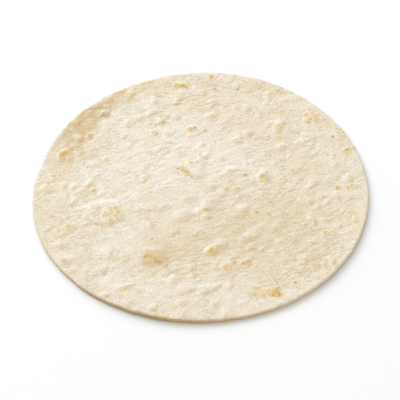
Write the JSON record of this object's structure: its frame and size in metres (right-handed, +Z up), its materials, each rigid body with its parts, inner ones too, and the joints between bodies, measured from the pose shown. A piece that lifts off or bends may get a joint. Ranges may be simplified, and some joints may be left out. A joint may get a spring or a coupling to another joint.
{
  "type": "flour tortilla",
  "caption": "Round soft flour tortilla lying face up, with a low domed middle, a rim that curls a little off the table and toasted griddle blisters; a wrap or base for fillings",
  "frame": {"origin": "under the middle of the tortilla, at the height of the surface that it rests on", "axes": "+Z up, square to the sheet; -Y towards the viewer and +X to the right as pictured"},
  "size_m": [0.2002, 0.2, 0.004],
  "materials": {
    "griddled_dough": "matt cream wheat dough with tan and orange-brown toasted spots"
  },
  "bodies": {
    "root": {"tortilla": "griddled_dough"}
  },
  "joints": []
}
